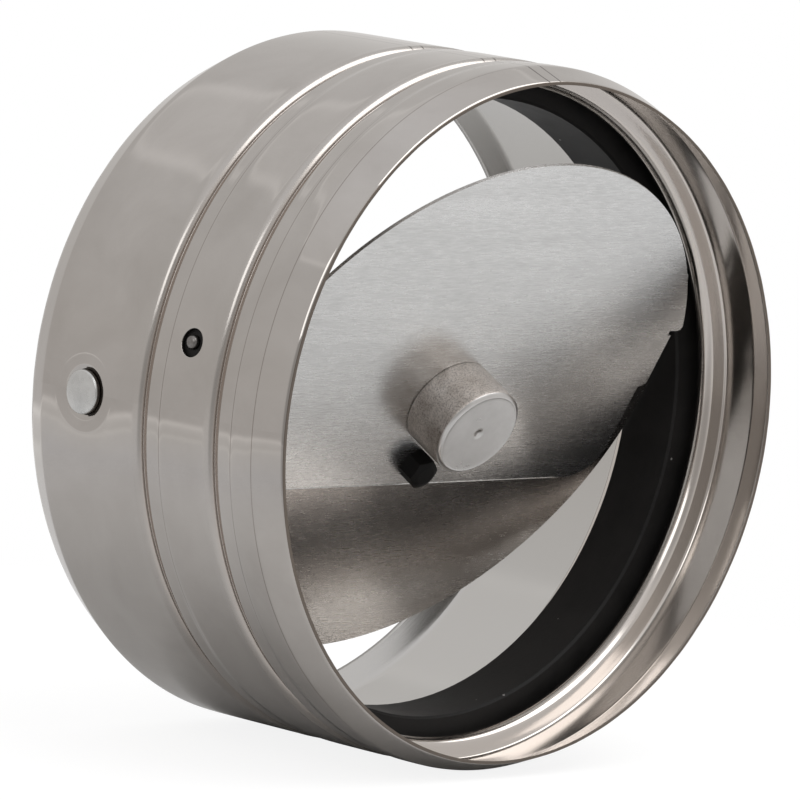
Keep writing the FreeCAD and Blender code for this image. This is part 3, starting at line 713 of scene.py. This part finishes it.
black_ring, tree, shader, where = finish("moulded_black_ring")
cloud = speckle(tree, where, 90.0, 4.0, 0.6)
dust = add(tree, "ShaderNodeTexVoronoi", {"Vector": where, "Scale": 420.0, "Randomness": 1.0})
draw = add(tree, "ShaderNodeSeparateColor", {0: dust.outputs["Color"]}).outputs[0]
chosen = maths(tree, "GREATER_THAN", draw, 1 - DUST_SHARE)
speck = maths(tree, "MULTIPLY", chosen,
              maths(tree, "LESS_THAN", dust.outputs["Distance"], DUST_SIZE))
body_shade = ramp(tree, cloud, ((0.3, (0.008, 0.0075, 0.0075)), (0.75, (0.016, 0.015, 0.0145))))
dusty = blend(tree, maths(tree, "MULTIPLY", speck, 0.5), body_shade, (0.35, 0.34, 0.33, 1))
pores = speckle(tree, where, 1500.0, 3.0, 0.6)
fill(tree, shader, {
    "Base Color": dusty, "Specular IOR Level": 0.14,
    "Roughness": maths(tree, "MULTIPLY_ADD", cloud, 0.22, 0.40),
    "Normal": relief(tree, pores, 0.00006, 0.5)})
dress("seal_ring", black_ring)
print("ring finish is on seal_ring")

# %% [markdown]
# ## Brushed blades
# Both blades are cut from sheet that was brushed along its length, so very fine scratches
# run from side to side, parallel to the axle. Scratches smear a reflection across
# themselves. That could be done with the shader's anisotropy, but a bump made of noise
# stretched ten times along X does the same and also draws the single scratches that the
# eye looks for. The coordinates are turned by the flap's lean first, so that the streaks
# stay straight on the sheet. The rear blade hangs lower in the air stream and has a
# slightly warmer tone.

# %% Blade finish
LEAN = math.radians(28)


def brushed_sheet(name, dark, light, smooth, rough):
    """Brushed steel. Colours are at the ends of the cloudiness, and so are the roughnesses."""
    material, tree, shader, where = finish(name)
    fine = speckle(tree, stretch(tree, where, (260, 2600, 2600), -LEAN), 1.0, 4.0, 0.7)
    broad = speckle(tree, stretch(tree, where, (22, 300, 300), -LEAN), 1.0, 2.0, 0.5)
    cloud = speckle(tree, where, 38.0, 3.0, 0.6, 0.3)
    streaks = maths(tree, "ADD", maths(tree, "MULTIPLY", fine, 0.65),
                    maths(tree, "ADD", maths(tree, "MULTIPLY", broad, 0.2),
                          maths(tree, "MULTIPLY", cloud, 0.15)))
    buckle = relief(tree, speckle(tree, where, 26.0, 1.0, 0.4), 0.0011, 0.30)
    fill(tree, shader, {
        "Base Color": ramp(tree, streaks, ((0.40, dark), (0.60, light))), "Metallic": 1,
        "Roughness": maths(tree, "MULTIPLY_ADD", streaks, rough - smooth, smooth),
        "Normal": relief(tree, fine, 0.00003, 0.85, buckle)})
    return material


blade_sheet = brushed_sheet("brushed_blade_sheet", (0.59, 0.59, 0.585), (0.73, 0.73, 0.725),
                            smooth=0.20, rough=0.33)
warm_sheet = brushed_sheet("tarnished_blade_sheet", (0.62, 0.582, 0.550), (0.76, 0.722, 0.690),
                           smooth=0.20, rough=0.33)
for name in ("front_blade", "axle_saddle_left", "axle_saddle_right"):
    dress(name, blade_sheet)
dress("rear_blade", warm_sheet)
print("brushed finish is on the blades and saddles")

# %% [markdown]
# ## Turned steel
# The pins, the axle and the fasteners came off a lathe or out of a cold header. Turning
# leaves fine rings about the piece's own axis. So one function makes a finish for pieces
# that lie along X or for those that stand square to the flap, because the rings have to
# run about the right line. The distance from that line drives noise with a fine pitch.

# %% Turned finishes
def turned_steel(name, dark, light, axis, centre, pitch, smooth, rough, depth):
    """Turned metal. Rings lie about an axis ("X" or "flap") through a centre in metres."""
    material, tree, shader, where = finish(name)
    along_x = axis == "X"
    moved = add(tree, "ShaderNodeVectorMath", {0: where, 1: centre},
                operation="SUBTRACT").outputs[0]
    turned = stretch(tree, moved, (1, 1, 1), 0.0 if along_x else -LEAN)
    place = add(tree, "ShaderNodeSeparateXYZ", {0: turned}).outputs
    along, across = (place["X"], place["Y"]) if along_x else (place["Y"], place["X"])
    radius = maths(tree, "SQRT", squares(tree, across, place["Z"]))
    spiral = add(tree, "ShaderNodeCombineXYZ", {"X": radius, "Y": along}).outputs[0]
    rings = speckle(tree, spiral, 1 / pitch, 2.0, 0.6)
    cloud = speckle(tree, where, 180.0, 4.0, 0.65)
    fill(tree, shader, {
        "Base Color": ramp(tree, cloud, ((0.3, dark), (0.7, light))), "Metallic": 1,
        "Roughness": maths(tree, "MULTIPLY_ADD", cloud, rough - smooth, smooth),
        "Normal": relief(tree, rings, depth, 0.6)})
    return material


def flap_point(x, up, off):
    """A place on the flap in metres, from millimetres along the axle, up the blade and
    square to it, where the side towards the front opening is negative."""
    return Vector((x, -up * math.sin(LEAN) + off * math.cos(LEAN),
                   PIVOT + up * math.cos(LEAN) + off * math.sin(LEAN))) * MM


WEIGHT_DROP = 11.15
PIN_LINE = (0, PIN_PLACE * MM, 0)
AXLE_LINE = (0, 0, PIVOT * MM)
WEIGHT_LINE = flap_point(0, -WEIGHT_DROP, 0)
pin_steel = turned_steel("turned_pin_steel", (0.46, 0.46, 0.455), (0.62, 0.62, 0.61),
                         "X", PIN_LINE, pitch=0.0005, smooth=0.22, rough=0.34, depth=0.00002)
axle_steel = turned_steel("turned_axle_steel", (0.58, 0.58, 0.57), (0.75, 0.75, 0.74),
                          "X", AXLE_LINE, pitch=0.0004, smooth=0.20, rough=0.30, depth=0.00002)
plated = turned_steel("bright_plated_steel", (0.50, 0.51, 0.53), (0.66, 0.67, 0.69),
                      "flap", WEIGHT_LINE, pitch=0.0006, smooth=0.18, rough=0.32, depth=0.00002)
for name in ("axle", "saddle_rivets"):
    dress(name, axle_steel)
for name in ("weight_screw", "weight_screw_washer", "weight_spacer",
             "blade_bolt_washer", "bolt_spacer", "blade_bolt_nut"):
    dress(name, plated)
print("turned finishes are on pins, axle, rivets and fasteners")

# %% [markdown]
# ## Lathe meshes for the small round pieces
# The stop pins' heads are slightly domed and sit low in their dents, and the axle's ends
# come up almost to the wall in their holes. These are all round pieces about an X axis, so
# one lathe helper turns them. It makes rows of points, wraps them with four-sided faces
# and closes both ends.

# %% Lathe helpers
def wrapped(rows, around):
    """Four-sided faces over rows of points, where each row is a closed ring."""
    made_faces = []
    for row in range(rows - 1):
        for k in range(around):
            a, b = row * around + k, row * around + (k + 1) % around
            made_faces.append((a, b, b + around, a + around))
    return made_faces


def turn_along_x(name, outline, place_y, place_z, side, around):
    """A lathe mesh about a line along X. The outline is (distance from the middle, radius),
    and the side is -1 for the left and 1 for the right."""
    angles = [2 * math.pi * k / around for k in range(around)]
    made_points = [(side * x * MM, (place_y + r * math.cos(a)) * MM,
                    (place_z + r * math.sin(a)) * MM) for x, r in outline for a in angles]
    made_faces = wrapped(len(outline), around)
    made_faces.append(tuple(range(around))[::-1])
    made_faces.append(tuple(range((len(outline) - 1) * around, len(outline) * around)))
    return new_piece(name, made_points, [made[::side] for made in made_faces])


print("lathe helpers are ready")

# %% [markdown]
# ## Domed pin heads and the axle's tips
# From the tip inside the tube, the outline of a pin runs along the shank, over the collar
# against the inside of the wall and out through the wall to the head, and ends in the
# dome. The head's side sits down in the narrow gap round the head, so it takes a second
# material that is painted near-black, as painted shade for the gap. The ends of the axle
# are worn round, and they are painted dark, as painted shade for the holes they sit in.

# %% Pins and axle tips
PIN_AROUND, TIP_AROUND = 72, 48
SHANK, COLLAR, COLLAR_START, COLLAR_END = 3.0, 4.2, 73.05, 74.0
HEAD, HEAD_FOOT, HEAD_SIDE, HEAD_ROUND = 4.7, 74.28, 75.05, 0.45
DOME_EDGE, DOME_STEP, DOME_HEIGHT, DOME_SQUARE = 4.2, 0.35, 0.25, 17.7
PIN_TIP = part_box("stop_pin_right")[0].x / MM
pin_outline = [
    (PIN_TIP, SHANK - 0.3), (PIN_TIP + 0.1, SHANK - 0.1), (PIN_TIP + 0.3, SHANK),
    (COLLAR_START - 0.05, SHANK), (COLLAR_START, SHANK + 0.05),
    (COLLAR_START, COLLAR - 0.1), (COLLAR_START + 0.1, COLLAR),
    (COLLAR_END - 0.05, COLLAR), (COLLAR_END, COLLAR - 0.1),
    (COLLAR_END, SHANK), (HEAD_FOOT - 0.02, SHANK)]
side_start = len(pin_outline) - 1
pin_outline += [(HEAD_FOOT, HEAD - 0.10), (HEAD_FOOT + 0.04, HEAD - 0.02), (HEAD_SIDE, HEAD)]
side_end = len(pin_outline) - 1
pin_outline += [(HEAD_SIDE + HEAD_ROUND * math.sin(math.radians(15 * k)),
                 HEAD - HEAD_ROUND + HEAD_ROUND * math.cos(math.radians(15 * k)))
                for k in range(1, 6)]
for k in range(12):
    r = DOME_EDGE - DOME_STEP * k
    pin_outline.append((HEAD_SIDE + HEAD_ROUND + DOME_HEIGHT * (1 - r ** 2 / DOME_SQUARE), r))
tip_outline = [(72.2, 1.55), (73.1, 1.50), (73.6, 1.32), (73.85, 1.05), (74.0, 0.70),
               (74.05, 0.45), (73.95, 0.20), (73.9, 0.05)]
TIP_PLACE = 0.35

# Painted shade: the head's side down in the gap is near-black.
gap_shade, tree, shader, where = finish("painted_gap_shade")
gap_mottle = speckle(tree, where, 700.0, 3.0, 0.6)
gap_dark = ramp(tree, gap_mottle, ((0.35, (0.020, 0.016, 0.013)), (0.75, (0.075, 0.058, 0.045))))
fill(tree, shader, {"Base Color": gap_dark, "Roughness": 0.55})
# Painted shade: the axle tips sit down in the wall's holes, so they are painted dark.
shaded_tip = turned_steel("shaded_axle_tip", (0.10, 0.09, 0.085), (0.36, 0.35, 0.34),
                        "X", AXLE_LINE, pitch=0.0003, smooth=0.25, rough=0.40, depth=0.00003)

for side, name in ((-1, "left"), (1, "right")):
    pin = turn_along_x("domed_pin_" + name, pin_outline, PIN_PLACE, 0, side, PIN_AROUND)
    pin.data.materials.append(pin_steel)
    pin.data.materials.append(gap_shade)
    for k in range(side_start * PIN_AROUND, side_end * PIN_AROUND):
        pin.data.polygons[k].material_index = 1
    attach(pin, "tube")
    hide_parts("stop_pin_" + name)
    tip = turn_along_x("axle_tip_" + name, tip_outline, TIP_PLACE, PIVOT, side, TIP_AROUND)
    tip.data.materials.append(shaded_tip)
    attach(tip, "flap")
print("pins reach in to x = %.1f mm" % PIN_TIP)

# %% [markdown]
# ## The counterweight
# The weight is a slug of steel bar. Its side still has the rough brown-grey skin of the
# bar, with pits and small craters, while its face was turned bright and marked in the
# middle by the lathe's centre. The solid has the right size but a perfectly true side. A
# lathe mesh with its own small unevenness replaces it, and a chamfer with three rows
# catches the light along the rim.

# %% Mesh of the counterweight
WEIGHT_RADIUS, WEIGHT_HEIGHT, WEIGHT_EDGE, WEIGHT_FOOT = 10.6, 11.5, 0.9, 0.2
BLADE_FACE = -8.5
WEIGHT_AROUND = 160
SIDE_STEPS, DISH_STEPS = 24, 12
SCREW_HOLE = 2.55
DISH_RADIUS, DISH_REACH, DISH_LIP, DISH_DEPTH = 9.30, 8.4, 0.09, 0.12
LUMPS, GRIT, SKIN_LEVEL = 0.05, 0.03, 0.6
face = BLADE_FACE - WEIGHT_HEIGHT
side_length = WEIGHT_HEIGHT - WEIGHT_EDGE - 0.3
weight_outline = [(SCREW_HOLE, BLADE_FACE), (WEIGHT_RADIUS - WEIGHT_FOOT, BLADE_FACE)]
weight_outline += [(WEIGHT_RADIUS, BLADE_FACE - WEIGHT_FOOT - side_length * k / SIDE_STEPS)
                   for k in range(SIDE_STEPS + 1)]
side_rows = len(weight_outline)
weight_outline += [(WEIGHT_RADIUS - 0.10, face + WEIGHT_EDGE * 0.80),
                   (WEIGHT_RADIUS - 0.45, face + WEIGHT_EDGE * 0.42),
                   (WEIGHT_RADIUS - 0.80, face + WEIGHT_EDGE * 0.10),
                   (WEIGHT_RADIUS - 1.05, face)]
weight_outline += [(DISH_RADIUS + 0.15, face + 0.07), (DISH_RADIUS, face + DISH_LIP)]
for k in range(1, DISH_STEPS + 1):
    share = k / DISH_STEPS
    weight_outline.append((DISH_RADIUS - DISH_REACH * share,
                           face + DISH_LIP + DISH_DEPTH * share * (2 - share)))
weight_outline += [(0.85, face + 0.24), (0.50, face + 0.32), (0.08, face + 0.45)]
points = []
for r, off in weight_outline:
    for k in range(WEIGHT_AROUND):
        a = 2 * math.pi * k / WEIGHT_AROUND
        rough = 0.0
        if r == WEIGHT_RADIUS:
            spot = Vector((math.cos(a) * 5, math.sin(a) * 5, off * 0.5))
            rough = (LUMPS * (noise.noise(spot * 1.5) - SKIN_LEVEL)
                     + GRIT * (noise.noise(spot * 6) - SKIN_LEVEL))
        points.append(flap_point((r + rough) * math.cos(a),
                                 -WEIGHT_DROP + (r + rough) * math.sin(a), off))
rows = len(weight_outline)
faces = wrapped(rows, WEIGHT_AROUND)
faces.append(tuple(range((rows - 1) * WEIGHT_AROUND, rows * WEIGHT_AROUND)))
steel_slug = new_piece("steel_slug", points, faces)
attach(steel_slug, "flap")
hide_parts("counterweight")
print("counterweight: %d faces" % len(steel_slug.data.polygons))

# %% [markdown]
# ## Finish of the counterweight
# The skin of the bar goes from brown to pale grey in patches, and each pit is darker and
# deeper than what is round it, so the same noise drives the shade, the roughness and the
# bump. The turned face takes the lathe finish, from the chamfer on.

# %% Skin and turned face
bar_skin, tree, shader, where = finish("rough_bar_skin")
pits = speckle(tree, where, 3000.0, 3.0, 0.6)
patches = speckle(tree, where, 160.0, 4.0, 0.6, 0.5)
skin = ramp(tree, patches, ((0.30, (0.43, 0.385, 0.350)), (0.55, (0.59, 0.545, 0.510)),
                            (0.75, (0.72, 0.680, 0.650))))
dark_pits = spread(tree, pits, 0.34, 0.56, 0.55, 1.05)
pitted = add(tree, "ShaderNodeVectorMath", {0: skin, "Scale": dark_pits},
             operation="SCALE").outputs[0]
fill(tree, shader, {
    "Base Color": pitted, "Metallic": 1,
    "Roughness": maths(tree, "MULTIPLY_ADD", pits, 0.25, 0.36),
    "Normal": relief(tree, pits, 0.00012, 0.7)})
turned_face = turned_steel("turned_weight_face", (0.52, 0.51, 0.50), (0.60, 0.59, 0.58),
                           "flap", WEIGHT_LINE, pitch=0.0009, smooth=0.24, rough=0.34,
                           depth=0.00002)
steel_slug.data.materials.append(bar_skin)
steel_slug.data.materials.append(turned_face)
for polygon in steel_slug.data.polygons:
    polygon.material_index = 1 if polygon.index >= side_rows * WEIGHT_AROUND else 0
print("skin and turned face are on", steel_slug.name)

# %% [markdown]
# ## Burr along the foot of the front blade
# The shears left a fine bright burr along the straight lower edge of the front blade. It
# is only a third of a millimetre thick, but it draws the pale line that parts the two
# blades in the picture. It is made as a thin tube with an uneven radius, which is how a
# burr catches light from every side.

# %% Foot burr
FOOT, FOOT_HALF, BURR_STEPS, BURR_SIDES = -32.9, 47.0, 220, 8
BURR_LEAST, BURR_THIN, BURR_THICK, BURR_FADE, BURR_RISE = 0.01, 0.10, 0.12, 3, 0.06
points = []
for k in range(BURR_STEPS + 1):
    x = FOOT_HALF * (2 * k / BURR_STEPS - 1)
    ends = min(1.0, (FOOT_HALF - abs(x)) / BURR_FADE)
    ragged = abs(noise.noise(Vector((x * 0.6, 3.1, 0))))
    thick = (BURR_THIN + BURR_THICK * ragged) * ends + BURR_LEAST
    for side in range(BURR_SIDES):
        a = 2 * math.pi * side / BURR_SIDES
        points.append(flap_point(x, FOOT + BURR_RISE + thick * math.cos(a),
                                 BLADE_FACE + thick * math.sin(a)))
foot_burr = new_piece("foot_burr", points, wrapped(BURR_STEPS + 1, BURR_SIDES))
foot_burr.data.materials.append(axle_steel)
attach(foot_burr, "flap")
print("foot burr: %d faces" % len(foot_burr.data.polygons))

# %% [markdown]
# ## The black bolt and rounded edges
# A small hexagon screw with a blackened head holds the two blades together. It is nearly
# as dark as the ring, so its facets show only by their soft sheen. The solid keeps its
# mesh, and a Bevel modifier rounds its corners the way a cold-headed screw is rounded. The
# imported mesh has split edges, so a Weld modifier joins them first, as a bevel needs. Last,
# a Weighted Normal modifier lets the large flat faces set the shading, or the narrow
# bevels would streak it. The blades and the nut get the same three modifiers.

# %% Bolt finish, and rounded edges for the small solids
blackened, tree, shader, where = finish("blackened_screw")
patches = speckle(tree, where, 700.0, 4.0, 0.6)
black = ramp(tree, patches, ((0.3, (0.003, 0.003, 0.003)), (0.8, (0.009, 0.008, 0.008))))
fill(tree, shader, {
    "Base Color": black, "Specular IOR Level": 0.13,
    "Roughness": maths(tree, "MULTIPLY_ADD", patches, 0.2, 0.42),
    "Normal": relief(tree, patches, 0.00005, 0.5)})
dress("blade_bolt", blackened)


def round_edges(node_name, width):
    """Joins a solid's split edges, rounds its corners and levels the shading of its flat
    faces. The width is in millimetres."""
    piece = nodes[node_name]
    weld = piece.modifiers.new("weld", "WELD")
    weld.merge_threshold = 0.000002
    bevel = piece.modifiers.new("rounded", "BEVEL")
    bevel.width = width * MM
    bevel.segments = 2
    bevel.limit_method = "ANGLE"
    bevel.angle_limit = math.radians(40)
    bevel.harden_normals = True
    level = piece.modifiers.new("level", "WEIGHTED_NORMAL")
    level.mode = "FACE_AREA"
    level.weight = 100
    level.keep_sharp = True


for name, width in (("blade_bolt", 0.5), ("front_blade", 0.12), ("rear_blade", 0.12),
                    ("blade_bolt_nut", 0.15)):
    round_edges(name, width)
print("bolt finish and rounded edges are done")
